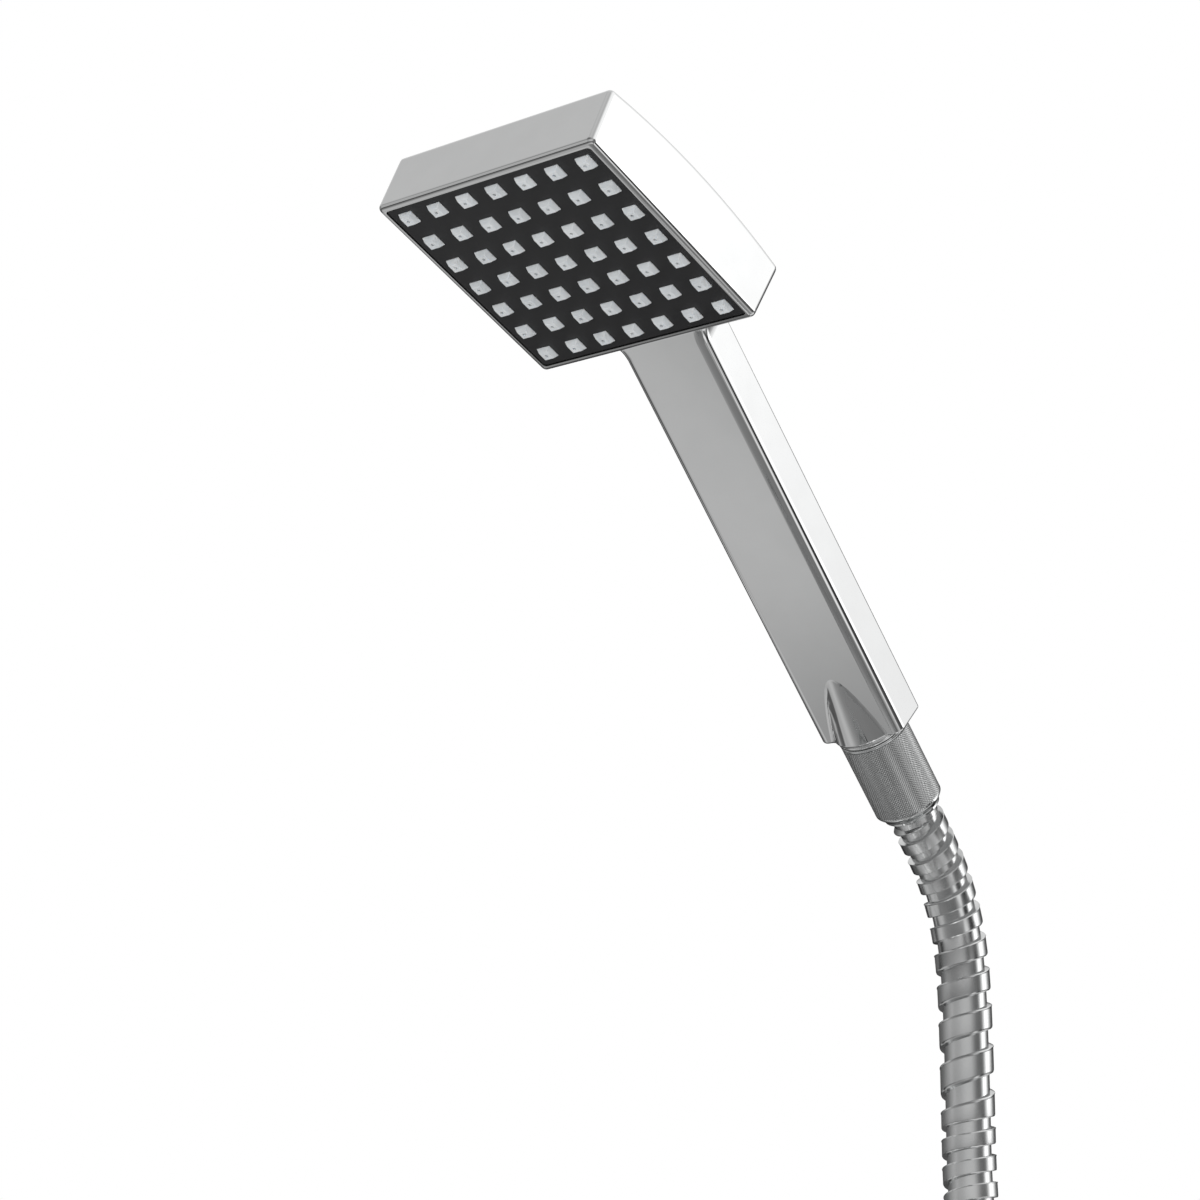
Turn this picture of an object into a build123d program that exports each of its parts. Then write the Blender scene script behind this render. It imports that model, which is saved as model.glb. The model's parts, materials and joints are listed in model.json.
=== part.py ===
from build123d import *
import math
import os

os.makedirs("parts", exist_ok=True)

# Driving dimensions, in millimetres and degrees
nozzle_pitch = 11.5
nozzle_rows = 7
face_border = 7.5          # last nozzle's centre to the head's side
face_tilt = 22.08          # spray face to the horizontal
bend = 24.0                # handle to the spray face
handle_end = 194.35        # from the face centre to the handle's end, along the handle
axis_depth = 31.05         # handle axis behind the face centre, square to the handle
handle_width = 32.2
handle_depth = 16.1
handle_edge = 3.4          # rounding of the handle's front edges
back_edge = 1.2            # rounding of the handle's back edges
end_edge = 0.9             # rounding of the edges at the handle's end
handle_wall = 2.5
running_gap = 0.05         # between pieces that turn or slide on each other
fit_gap = 0.1              # between pieces that are pushed together
loose_gap = 0.3            # between pieces that only pass each other

# Head: v runs across the face towards the handle, n runs into the head
head_half = (nozzle_rows - 1) / 2 * nozzle_pitch + face_border
head_wall = 2.3
rim_n = -0.5               # the rim stands proud of the black plate
rim_wide = 2.1
rim_round = 1.8
plan_round = 1.9
inner_round = 1.3          # corners of the opening and of the plate in it
top_lean = 1.8
low_lean = 4.5
top_depth = 21.5
crown_v = 3.0
crown_rise = 3.4
back_round = 2.0           # rounding of the head's back edges

# Front stack, levels measured into the head
plate_gap = 0.2
plate_thick = 2.2
gasket_thick = 1.0
ledge_thick = 1.2
ledge_reach = 1.1
manifold_gap = 0.4
manifold_wall = 2.4
manifold_floor = 1.6
chamber_deep = 4.0
pad_web = 1.2
pad_land = 1.5

# Nozzles
nozzle_base = 5.0
nozzle_tip = 3.3
nozzle_height = 1.5
nozzle_hole = 1.1
window_gap = 0.2

# Inlet, measured along the handle axis from the handle's end
spigot_r = 10.4            # G 1/2 male, as a plain cylinder
collar_r = 12.1
collar_thick = 1.8
cone_r = 13.0
cone_height = 24.2         # where the cone has sunk into the handle
cone_blend = 3.0           # hollow rounding between the cone and the handle
tube_r = 5.0
tube_wall = 1.3
arm_r = 4.0
arm_bore_r = 2.5
cartridge_r = 7.5

# Hose and its fittings
hose_r = 9.0
hose_bore_r = 5.0
hose_start = 37.5
nut_r = 11.9
nut_end = 34.5
flange_r = 9.3
flange_thick = 2.5
neck_r = 7.15
lip_thick = 2.95
sleeve_r = 8.0
washer_thick = 2.0
washer_bore_r = 6.0

# Directions and planes
cos_bend = math.cos(math.radians(bend))
sin_bend = math.sin(math.radians(bend))
cos_tilt = math.cos(math.radians(face_tilt))
sin_tilt = math.sin(math.radians(face_tilt))
across = Vector(1, 0, 0)
face_v = Vector(0, cos_tilt, -sin_tilt)
face_n = Vector(0, sin_tilt, cos_tilt)
along = face_v * cos_bend - face_n * sin_bend
behind = face_v * sin_bend + face_n * cos_bend
face_centre = along * -handle_end - behind * axis_depth
head = Plane(origin=face_centre, x_dir=across, z_dir=face_n)
spray = Plane(origin=face_centre, x_dir=across, z_dir=face_n * -1)
side = Plane(origin=face_centre, x_dir=face_v, z_dir=across)
grip = Plane(origin=(0, 0, 0), x_dir=along, z_dir=across)
inlet = Plane(origin=(0, 0, 0), x_dir=across, z_dir=along)
inlet_axis = Axis((0, 0, 0), along)


def grip_point(v, n):
    """A point of the head's side view, in the handle's side view."""
    return (v * cos_bend - n * sin_bend - handle_end, v * sin_bend + n * cos_bend - axis_depth)


def depth_at(v, off_axis):
    """Depth in the head of a line beside the handle axis, at v."""
    return (axis_depth + off_axis - v * sin_bend) / cos_bend


# Side view of the head
half_depth = handle_depth / 2
half_width = handle_width / 2
top_back = (top_lean - head_half, top_depth)
low_back = (head_half + low_lean, depth_at(head_half + low_lean, half_depth))
crown = (crown_v, (top_back[1] + low_back[1]) / 2 + crown_rise)
low_wall = Vector(low_lean, low_back[1] - rim_n).normalized()


def top_v(n):
    return top_lean * (n - rim_n) / (top_depth - rim_n) - head_half


def low_v(n):
    return low_lean * (n - rim_n) / (low_back[1] - rim_n) + head_half


# Handle: side view cut to its plan, which flares where it meets the head
root_blend = 3.5
root_reach = 2.4
root_depth = 3.0
root_bite = 0.3
root_sink = 0.05           # handle's root under the crowned back
flare_long = 9.0
flare_wide = 5.5
front_drop = axis_depth - half_depth - head_half * sin_bend - rim_n * cos_bend
wall_run = front_drop / (low_wall.X * sin_bend + low_wall.Y * cos_bend)
front_v = head_half + wall_run * low_wall.X
front_n = rim_n + wall_run * low_wall.Y
front_root = grip_point(front_v, front_n)[0] + root_blend
foot = grip_point(front_v - root_reach * low_wall.X - root_bite, front_n - root_reach * low_wall.Y)
plan = Plane(
    origin=face_centre + face_v * front_v + face_n * front_n,
    x_dir=across,
    z_dir=face_v * low_wall.X + face_n * low_wall.Y,
)
handle_reach = handle_end + axis_depth

with BuildPart() as handle_bar:
    with BuildSketch(grip):
        with BuildLine():
            lead = Line((0, -half_depth), (front_root, -half_depth))
            TangentArc(lead @ 1, foot, tangent=(-1, 0))
            inner_front = grip_point(front_v - root_depth, front_n - root_reach)
            inner_back = grip_point(low_back[0] - root_depth, low_back[1] - root_depth)
            crown_line = ThreePointArc(top_back, crown, low_back, mode=Mode.PRIVATE)
            under = crown_line @ (1 - 2 * back_round / crown_line.length)
            back_lead = grip_point(under.X, under.Y - root_sink)
            back_root = grip_point(*low_back)
            Polyline(foot, inner_front, inner_back, back_lead, back_root, (0, half_depth))
            Line((0, half_depth), lead @ 0)
        make_face()
    extrude(amount=half_width + flare_wide, both=True)
    with BuildSketch(plan):
        with BuildLine():
            right = Line((half_width, handle_reach), (half_width, flare_long))
            flare = TangentArc(right @ 1, (half_width + flare_wide, -root_bite), tangent=(0, -1))
            Polyline(flare @ 1, (half_width + flare_wide, -2 * root_depth), (0, -2 * root_depth))
            Line((0, handle_reach), right @ 0)
            mirror(about=Plane.YZ)
        make_face()
    extrude(amount=handle_end, both=True, mode=Mode.INTERSECT)
    long_edges = handle_bar.edges().filter_by(lambda e: e.length > handle_end / 2)
    front_edges = [e for e in long_edges if grip.to_local_coords(e.center()).Y < 0]
    fillet(front_edges, handle_edge)
    long_edges = handle_bar.edges().filter_by(lambda e: e.length > handle_end / 2)
    back_level = half_depth - back_edge
    back_edges = [e for e in long_edges if grip.to_local_coords(e.center()).Y > back_level]
    fillet(back_edges, back_edge)

# Shell: head block with its crowned back, the handle, and the cone at the handle's end
opening_half = head_half - rim_wide
plate_half = opening_half - plate_gap
ledge_half = opening_half - ledge_reach
ledge_n = plate_thick + gasket_thick
cavity_n = ledge_n + ledge_thick
cavity_half = head_half - head_wall
cavity_low_n = low_back[1] - head_wall
cavity_top_n = top_depth - head_wall
channel_wide = handle_width - 2 * handle_wall
channel_deep = handle_depth - 2 * handle_wall
channel_round = 1.5
channel_root = 30.35       # from the face centre, along the handle
channel_long = handle_end - channel_root
plug_bore_r = 9.85
plug_bore_depth = 10.0
cone_sink = 8.0            # how far the cone's tip runs on inside the handle
cone_slope = (cone_r - half_depth) / cone_height
cone_long = cone_height + cone_sink

def on_cone(edge):
    """Whether the edge is where the cone leaves the handle's front or back."""
    middle = grip.to_local_coords(edge.center())
    level = abs(abs(middle.Y) - half_depth)
    return level < fit_gap and -cone_height < middle.X < -end_edge


with BuildPart() as body_shell:
    with BuildSketch(side):
        with BuildLine():
            Polyline(low_back, (head_half, rim_n), (-head_half, rim_n), top_back)
            ThreePointArc(top_back, crown, low_back)
        make_face()
    extrude(amount=head_half, both=True)
    corners = [e for e in body_shell.edges() if abs(e.tangent_at(0.5).dot(face_n)) > 0.9]
    fillet(corners, plan_round)
    front_face = body_shell.faces().sort_by(Axis(face_centre, face_n))[0]
    fillet(front_face.edges(), rim_round)
    back_face = body_shell.faces().sort_by(Axis(face_centre, face_n))[-1]
    fillet(back_face.edges(), back_round)
    add(handle_bar.part)
    with BuildSketch(grip):
        with BuildLine():
            cone_top_r = cone_r - cone_slope * cone_long
            Polyline(
                (0, 0), (0, cone_r), (-cone_long, cone_top_r), (-cone_long, 0), close=True
            )
        make_face()
    revolve(axis=inlet_axis)
    cone_edges = body_shell.edges().filter_by(on_cone)
    fillet(cone_edges, cone_blend)
    end_face = body_shell.faces().sort_by(inlet_axis)[-1]
    fillet(end_face.edges(), end_edge)
    with BuildSketch(head.offset(rim_n)):
        RectangleRounded(2 * opening_half, 2 * opening_half, inner_round)
    extrude(amount=ledge_n - rim_n, mode=Mode.SUBTRACT)
    with BuildSketch(head.offset(ledge_n)):
        RectangleRounded(2 * ledge_half, 2 * ledge_half, inner_round)
    extrude(amount=ledge_thick, mode=Mode.SUBTRACT)
    with BuildSketch(side):
        with BuildLine():
            cavity_low = (low_v(cavity_low_n) - head_wall, cavity_low_n)
            cavity_top = (top_v(cavity_top_n) + head_wall, cavity_top_n)
            Polyline(
                cavity_low,
                (low_v(cavity_n) - head_wall, cavity_n),
                (top_v(cavity_n) + head_wall, cavity_n),
                cavity_top,
            )
            ThreePointArc(cavity_top, (crown[0], crown[1] - head_wall), cavity_low)
        make_face()
    extrude(amount=cavity_half, both=True, mode=Mode.SUBTRACT)
    with BuildSketch(inlet):
        RectangleRounded(channel_wide, channel_deep, channel_round)
    extrude(amount=-channel_long, mode=Mode.SUBTRACT)
    with BuildSketch(inlet):
        Circle(plug_bore_r)
    extrude(amount=-plug_bore_depth, mode=Mode.SUBTRACT)
body_shell.part.label = "body_shell"
export_step(body_shell.part, "parts/body_shell.step")

# Black plate with a square window for each nozzle and four screw bosses behind it
nozzle_window = nozzle_base + 2 * window_gap
screw_span = (nozzle_rows - 2) * nozzle_pitch
boss_r = 2.5
boss_long = 4.3
boss_top = plate_thick + boss_long
screw_r = 1.2
pilot_floor = 1.0

with BuildPart() as face_plate:
    with BuildSketch(head):
        RectangleRounded(2 * plate_half, 2 * plate_half, inner_round)
        with GridLocations(nozzle_pitch, nozzle_pitch, nozzle_rows, nozzle_rows):
            Rectangle(nozzle_window, nozzle_window, mode=Mode.SUBTRACT)
    extrude(amount=plate_thick)
    with BuildSketch(head.offset(plate_thick)):
        with GridLocations(screw_span, screw_span, 2, 2):
            Circle(boss_r)
    extrude(amount=boss_long)
    with BuildSketch(head.offset(boss_top)):
        with GridLocations(screw_span, screw_span, 2, 2):
            Circle(screw_r)
    extrude(amount=pilot_floor - boss_top, mode=Mode.SUBTRACT)
face_plate.part.label = "face_plate"
export_step(face_plate.part, "parts/face_plate.step")

# Soft pad behind the plate, with one square nozzle in each window
pad_back = plate_thick + pad_web
manifold_half = ledge_half - manifold_gap
chamber_half = manifold_half - manifold_wall
pad_half = chamber_half + pad_land
tip_draft = math.degrees(math.atan((nozzle_base - nozzle_tip) / 2 / nozzle_height))
feed_r = 1.65

with BuildPart() as nozzle_pad:
    with BuildSketch(head.offset(plate_thick)):
        RectangleRounded(2 * pad_half, 2 * pad_half, inner_round)
        with GridLocations(screw_span, screw_span, 2, 2):
            Circle(boss_r + fit_gap, mode=Mode.SUBTRACT)
    extrude(amount=pad_web)
    with BuildSketch(head):
        with GridLocations(nozzle_pitch, nozzle_pitch, nozzle_rows, nozzle_rows):
            Rectangle(nozzle_base, nozzle_base)
    extrude(amount=plate_thick)
    with BuildSketch(spray):
        with GridLocations(nozzle_pitch, nozzle_pitch, nozzle_rows, nozzle_rows):
            Rectangle(nozzle_base, nozzle_base)
    extrude(amount=nozzle_height, taper=tip_draft)
    with BuildSketch(head.offset(-nozzle_height)):
        with GridLocations(nozzle_pitch, nozzle_pitch, nozzle_rows, nozzle_rows):
            Circle(nozzle_hole / 2)
    extrude(amount=nozzle_height + pad_back, mode=Mode.SUBTRACT)
    with BuildSketch(head.offset(pad_back)):
        with GridLocations(nozzle_pitch, nozzle_pitch, nozzle_rows, nozzle_rows):
            Circle(feed_r)
    extrude(amount=-plate_thick, mode=Mode.SUBTRACT)
nozzle_pad.part.label = "nozzle_pad"
export_step(nozzle_pad.part, "parts/nozzle_pad.step")

gasket_reach = 0.5         # how far the gasket shows inside the ledge

with BuildPart() as face_gasket:
    with BuildSketch(head.offset(plate_thick)):
        RectangleRounded(2 * plate_half, 2 * plate_half, inner_round)
        gasket_hole = 2 * (ledge_half - gasket_reach)
        RectangleRounded(gasket_hole, gasket_hole, inner_round, mode=Mode.SUBTRACT)
    extrude(amount=gasket_thick)
face_gasket.part.label = "face_gasket"
export_step(face_gasket.part, "parts/face_gasket.step")

# Manifold: water chamber behind the pad, riser and arm that feed it from the handle
chamber_roof = pad_back + chamber_deep
manifold_back = chamber_roof + manifold_floor
pillar_r = 4.2
riser_wide = 18.0
riser_long = 15.5
riser_inset = 2.5          # riser's face to the head's side
riser_v = head_half - riser_inset - riser_long / 2
riser_bore_r = 3.2
riser_bore_shift = 3.25    # bore to the riser's middle
riser_bore_v = riser_v + riser_bore_shift
riser_axis_n = depth_at(riser_bore_v, 0)
riser_cap = 1.6
riser_top = riser_axis_n + riser_cap
arm_start = 5.0            # arm's root to the riser's bore
arm_root = grip_point(riser_bore_v, riser_axis_n)[0] + arm_start
arm_long = 25.5
arm_end = arm_root + arm_long
arm_ring_inset = 3.65      # ring's groove to the arm's end
arm_ring_wide = 2.0
arm_groove = (arm_end - arm_ring_inset - arm_ring_wide, arm_end - arm_ring_inset)
arm_groove_r = 3.1
snap_long = 10.0
snap_thick = 1.2
snap_grip = 0.4            # how far each barb hooks behind the ledge
snap_reach = manifold_gap + snap_grip

with BuildPart() as spray_manifold:
    with BuildSketch(head.offset(pad_back)):
        RectangleRounded(2 * manifold_half, 2 * manifold_half, inner_round)
    extrude(amount=manifold_back - pad_back)
    with BuildSketch(head.offset(pad_back)):
        Rectangle(2 * chamber_half, 2 * chamber_half)
        with GridLocations(screw_span, screw_span, 2, 2):
            Circle(pillar_r, mode=Mode.SUBTRACT)
    extrude(amount=chamber_deep, mode=Mode.SUBTRACT)
    with BuildSketch(head.offset(manifold_back)):
        with Locations((0, riser_v)):
            Rectangle(riser_wide, riser_long)
    extrude(amount=riser_top - manifold_back)
    with BuildSketch(inlet.offset(arm_root)):
        Circle(arm_r)
    extrude(amount=arm_long)
    with BuildSketch(inlet.offset(arm_groove[0])):
        Circle(arm_r)
        Circle(arm_groove_r, mode=Mode.SUBTRACT)
    extrude(amount=arm_groove[1] - arm_groove[0], mode=Mode.SUBTRACT)
    with BuildSketch(inlet.offset(arm_end)):
        Circle(arm_bore_r)
    extrude(amount=-arm_long - riser_bore_r, mode=Mode.SUBTRACT)
    with BuildSketch(head.offset(pad_back)):
        with Locations((0, riser_bore_v)):
            Circle(riser_bore_r)
    extrude(amount=riser_axis_n - pad_back, mode=Mode.SUBTRACT)
    with BuildSketch(head.offset(pad_back)):
        with GridLocations(screw_span, screw_span, 2, 2):
            Circle(boss_r + fit_gap)
    extrude(amount=boss_top + fit_gap - pad_back, mode=Mode.SUBTRACT)
    with BuildSketch(head.offset(manifold_back)):
        with GridLocations(screw_span, screw_span, 2, 2):
            Circle(screw_r + fit_gap)
    extrude(amount=boss_top - manifold_back, mode=Mode.SUBTRACT)
    with BuildSketch(head.offset(cavity_n + fit_gap)):
        with GridLocations(2 * manifold_half + snap_reach, 0, 2, 1):
            Rectangle(snap_reach, snap_long)
    extrude(amount=snap_thick)
spray_manifold.part.label = "spray_manifold"
export_step(spray_manifold.part, "parts/spray_manifold.step")

screw_head_r = 2.6
screw_head_high = 1.8
screw_tip_gap = 0.6
screw_tip_n = pilot_floor + screw_tip_gap
drive_long = 2.8
drive_wide = 0.7
drive_deep = 1.0

with BuildPart() as manifold_screws:
    with BuildSketch(head.offset(manifold_back)):
        with GridLocations(screw_span, screw_span, 2, 2):
            Circle(screw_r)
    extrude(amount=screw_tip_n - manifold_back)
    with BuildSketch(head.offset(manifold_back)):
        with GridLocations(screw_span, screw_span, 2, 2):
            Circle(screw_head_r)
    extrude(amount=screw_head_high)
    with BuildSketch(head.offset(manifold_back + screw_head_high)):
        with GridLocations(screw_span, screw_span, 2, 2):
            Rectangle(drive_long, drive_wide)
            Rectangle(drive_wide, drive_long)
    extrude(amount=-drive_deep, mode=Mode.SUBTRACT)
manifold_screws.part.label = "manifold_screws"
export_step(manifold_screws.part, "parts/manifold_screws.step")

# Water tube in the handle, sealed by a ring on the arm and a ring in the connector
shank_r = 8.4
shank_short = 0.5          # shank's top to the bore's floor
shank_top = shank_short - plug_bore_depth
tube_seat = -4.0
seat_bore_r = 4.0
tube_foot = tube_seat - 2 * fit_gap
socket_r = arm_r + running_gap
arm_insert = 10.0
socket_spare = 2.0
socket_deep = arm_insert + socket_spare
tube_top = arm_end - arm_insert
tube_socket_wall = 1.3
foot_ring_inset = 2.0      # ring's groove to the tube's seat
foot_ring_wide = 2.2
foot_ring_thick = 1.5
foot_groove = (tube_seat - foot_ring_inset - foot_ring_wide, tube_seat - foot_ring_inset)
foot_groove_r = tube_r + foot_ring_thick

with BuildPart() as water_tube:
    with BuildSketch(inlet.offset(tube_top)):
        Circle(tube_r)
        Circle(tube_r - tube_wall, mode=Mode.SUBTRACT)
    extrude(amount=tube_foot - tube_top)
    with BuildSketch(inlet.offset(tube_top)):
        Circle(socket_r + tube_socket_wall)
    extrude(amount=socket_deep)
    with BuildSketch(inlet.offset(tube_top)):
        Circle(socket_r)
    extrude(amount=socket_deep, mode=Mode.SUBTRACT)
water_tube.part.label = "water_tube"
export_step(water_tube.part, "parts/water_tube.step")

with BuildPart() as tube_upper_o_ring:
    with BuildSketch(inlet.offset(arm_groove[0] + running_gap)):
        Circle(socket_r)
        Circle(arm_groove_r, mode=Mode.SUBTRACT)
    extrude(amount=arm_groove[1] - arm_groove[0] - 2 * running_gap)
tube_upper_o_ring.part.label = "tube_upper_o_ring"
export_step(tube_upper_o_ring.part, "parts/tube_upper_o_ring.step")

with BuildPart() as tube_lower_o_ring:
    with BuildSketch(inlet.offset(foot_groove[0] + running_gap)):
        Circle(foot_groove_r)
        Circle(tube_r, mode=Mode.SUBTRACT)
    extrude(amount=foot_groove[1] - foot_groove[0] - 2 * running_gap)
tube_lower_o_ring.part.label = "tube_lower_o_ring"
export_step(tube_lower_o_ring.part, "parts/tube_lower_o_ring.step")

# Plug that closes the handle's end, round the connector's shank
plug_long = 16.0

with BuildPart() as handle_end_plug:
    with BuildSketch(inlet):
        RectangleRounded(
            channel_wide - 2 * fit_gap, channel_deep - 2 * fit_gap, channel_round - fit_gap
        )
        Circle(tube_r + fit_gap, mode=Mode.SUBTRACT)
    extrude(amount=-plug_long)
    with BuildSketch(inlet):
        Circle(plug_bore_r - running_gap)
    extrude(amount=fit_gap - plug_bore_depth)
    with BuildSketch(inlet):
        Circle(shank_r + running_gap)
    extrude(amount=shank_top, mode=Mode.SUBTRACT)
    with BuildSketch(inlet):
        Circle(tube_r + fit_gap)
    extrude(amount=-plug_long, mode=Mode.SUBTRACT)
handle_end_plug.part.label = "handle_end_plug"
export_step(handle_end_plug.part, "parts/handle_end_plug.step")

# Levels of the check valve, the flow limiter, the washer and the hose's ferrule
cartridge_seat = -1.0
spider_thick = 1.55
valve_room = 7.5
seat_thick = 1.5
limiter_thick = 2.5
limiter_drop = 1.3         # limiter's lower face to the spigot's end
valve_top = cartridge_seat + running_gap
spider_end = valve_top + spider_thick
valve_seat = spider_end + valve_room
valve_end = valve_seat + seat_thick
limiter_top = valve_end + fit_gap
spigot_end = limiter_top + limiter_thick + limiter_drop
flange_top = spigot_end + washer_thick
flange_end = flange_top + flange_thick
collar_round = 0.8
tube_bore_r = tube_r + running_gap

with BuildPart() as inlet_connector:
    with BuildSketch(grip):
        with BuildLine():
            Polyline(
                (shank_top, tube_bore_r),
                (shank_top, shank_r),
                (0, shank_r),
                (0, collar_r),
                (collar_thick, collar_r),
                (collar_thick, spigot_r),
                (spigot_end, spigot_r),
                (spigot_end, cartridge_r),
                (cartridge_seat, cartridge_r),
                (cartridge_seat, seat_bore_r),
                (tube_seat, seat_bore_r),
                (tube_seat, tube_bore_r),
                (foot_groove[1], tube_bore_r),
                (foot_groove[1], foot_groove_r),
                (foot_groove[0], foot_groove_r),
                (foot_groove[0], tube_bore_r),
                close=True,
            )
        make_face()
    revolve(axis=inlet_axis)
    rims = inlet_connector.edges().filter_by(GeomType.CIRCLE)
    fillet(rims.filter_by(lambda e: abs(e.radius - collar_r) < running_gap), collar_round)
inlet_connector.part.label = "inlet_connector"
export_step(inlet_connector.part, "parts/inlet_connector.step")

# Check valve in the spigot
valve_r = cartridge_r - running_gap
valve_bore_r = 5.8
seat_hole_r = 4.0
stem_r = 1.2
stem_tail = 0.6            # stem past the spider
stem_bore_r = stem_r + running_gap
poppet_r = 5.0
poppet_thick = 1.6
poppet_low = valve_seat - fit_gap
poppet_back = poppet_low - poppet_thick
seal_deep = 0.8
seal_outer = 4.8
seal_inner = 3.2
valve_ring_inset = 1.9     # ring's groove to the valve's seat
valve_ring_wide = 1.6
valve_ring_thick = 0.85
valve_groove = (valve_seat - valve_ring_inset - valve_ring_wide, valve_seat - valve_ring_inset)
valve_groove_r = valve_r - valve_ring_thick
flow_holes = 4
flow_hole_r = 1.4
flow_ring_r = 4.0

with BuildPart() as valve_housing:
    with BuildSketch(grip):
        with BuildLine():
            Polyline(
                (valve_top, stem_bore_r),
                (valve_top, valve_r),
                (valve_groove[0], valve_r),
                (valve_groove[0], valve_groove_r),
                (valve_groove[1], valve_groove_r),
                (valve_groove[1], valve_r),
                (valve_end, valve_r),
                (valve_end, seat_hole_r),
                (valve_seat, seat_hole_r),
                (valve_seat, valve_bore_r),
                (spider_end, valve_bore_r),
                (spider_end, stem_bore_r),
                close=True,
            )
        make_face()
    revolve(axis=inlet_axis)
    with BuildSketch(inlet.offset(valve_top)):
        with PolarLocations(flow_ring_r, flow_holes):
            Circle(flow_hole_r)
    extrude(amount=spider_thick, mode=Mode.SUBTRACT)
valve_housing.part.label = "valve_housing"
export_step(valve_housing.part, "parts/valve_housing.step")

with BuildPart() as valve_o_ring:
    with BuildSketch(inlet.offset(valve_groove[0] + running_gap)):
        Circle(cartridge_r)
        Circle(valve_groove_r, mode=Mode.SUBTRACT)
    extrude(amount=valve_groove[1] - valve_groove[0] - 2 * running_gap)
valve_o_ring.part.label = "valve_o_ring"
export_step(valve_o_ring.part, "parts/valve_o_ring.step")

with BuildPart() as valve_poppet:
    with BuildSketch(inlet.offset(poppet_back)):
        Circle(stem_r)
    extrude(amount=valve_top - stem_tail - poppet_back)
    with BuildSketch(inlet.offset(poppet_back)):
        Circle(poppet_r)
    extrude(amount=poppet_thick)
    with BuildSketch(inlet.offset(poppet_low)):
        Circle(seal_outer)
        Circle(seal_inner, mode=Mode.SUBTRACT)
    extrude(amount=-seal_deep, mode=Mode.SUBTRACT)
valve_poppet.part.label = "valve_poppet"
export_step(valve_poppet.part, "parts/valve_poppet.step")

with BuildPart() as poppet_seal:
    with BuildSketch(inlet.offset(poppet_low)):
        Circle(seal_outer)
        Circle(seal_inner, mode=Mode.SUBTRACT)
    extrude(amount=-seal_deep)
poppet_seal.part.label = "poppet_seal"
export_step(poppet_seal.part, "parts/poppet_seal.step")

spring_r = 2.6
spring_wire_r = 0.3
spring_turns = 4
spring_low = spider_end + fit_gap + spring_wire_r
spring_rise = poppet_back - fit_gap - spring_wire_r - spring_low

with BuildPart() as valve_spring:
    with BuildLine() as coil_line:
        Helix(
            pitch=spring_rise / spring_turns,
            height=spring_rise,
            radius=spring_r,
            center=along * spring_low,
            direction=along,
        )
    with BuildSketch(Plane(origin=coil_line.line @ 0, z_dir=coil_line.line % 0)):
        Circle(spring_wire_r)
    sweep()
valve_spring.part.label = "valve_spring"
export_step(valve_spring.part, "parts/valve_spring.step")

# Flow limiter under the valve, filter washer between the spigot and the ferrule
limiter_holes = 6
limiter_hole_r = 1.3
limiter_ring_r = 4.4
screen_thick = 0.6
screen_mesh = 1.7
screen_hole = 1.2
screen_holes = 5
washer_r = flange_r - fit_gap

with BuildPart() as flow_limiter:
    with BuildSketch(inlet.offset(limiter_top)):
        Circle(valve_r)
        with PolarLocations(limiter_ring_r, limiter_holes):
            Circle(limiter_hole_r, mode=Mode.SUBTRACT)
    extrude(amount=limiter_thick)
flow_limiter.part.label = "flow_limiter"
export_step(flow_limiter.part, "parts/flow_limiter.step")

with BuildPart() as hose_washer:
    with BuildSketch(inlet.offset(spigot_end)):
        Circle(washer_r)
        Circle(washer_bore_r, mode=Mode.SUBTRACT)
    extrude(amount=washer_thick)
hose_washer.part.label = "hose_washer"
export_step(hose_washer.part, "parts/hose_washer.step")

with BuildPart() as filter_screen:
    with BuildSketch(inlet.offset(spigot_end + (washer_thick - screen_thick) / 2)):
        Circle(washer_bore_r - running_gap)
        with GridLocations(screen_mesh, screen_mesh, screen_holes, screen_holes):
            Rectangle(screen_hole, screen_hole, mode=Mode.SUBTRACT)
    extrude(amount=screen_thick)
filter_screen.part.label = "filter_screen"
export_step(filter_screen.part, "parts/filter_screen.step")

# Swivel nut and the ferrule that it draws against the washer
thread_r = spigot_r + running_gap
lip_r = neck_r + running_gap
nut_top = collar_thick + 2 * fit_gap
nut_skirt_r = sleeve_r + loose_gap
nut_ring_r = 10.0
nut_ring_high = 1.2
nut_chamfer = 1.8
nut_edge = 0.4
lip_top = flange_end + running_gap
lip_end = lip_top + lip_thick
barb_r = hose_bore_r - running_gap
barb_long = 9.0
ferrule_bore_r = 4.0

with BuildPart() as hose_nut:
    with BuildSketch(grip):
        with BuildLine():
            Polyline(
                (nut_top, thread_r),
                (nut_top, nut_r - nut_edge),
                (nut_top + nut_edge, nut_r),
                (nut_end - nut_ring_high - nut_chamfer, nut_r),
                (nut_end - nut_ring_high, nut_ring_r),
                (nut_end, nut_ring_r),
                (nut_end, nut_skirt_r),
                (lip_end, nut_skirt_r),
                (lip_end, lip_r),
                (lip_top, lip_r),
                (lip_top, thread_r),
                close=True,
            )
        make_face()
    revolve(axis=inlet_axis)
hose_nut.part.label = "hose_nut"
export_step(hose_nut.part, "parts/hose_nut.step")

with BuildPart() as hose_ferrule:
    with BuildSketch(grip):
        with BuildLine():
            Polyline(
                (flange_top, ferrule_bore_r),
                (flange_top, flange_r),
                (flange_end, flange_r),
                (flange_end, neck_r),
                (hose_start, neck_r),
                (hose_start, barb_r),
                (hose_start + barb_long, barb_r),
                (hose_start + barb_long, ferrule_bore_r),
                close=True,
            )
        make_face()
    revolve(axis=inlet_axis)
hose_ferrule.part.label = "hose_ferrule"
export_step(hose_ferrule.part, "parts/hose_ferrule.step")

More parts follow.
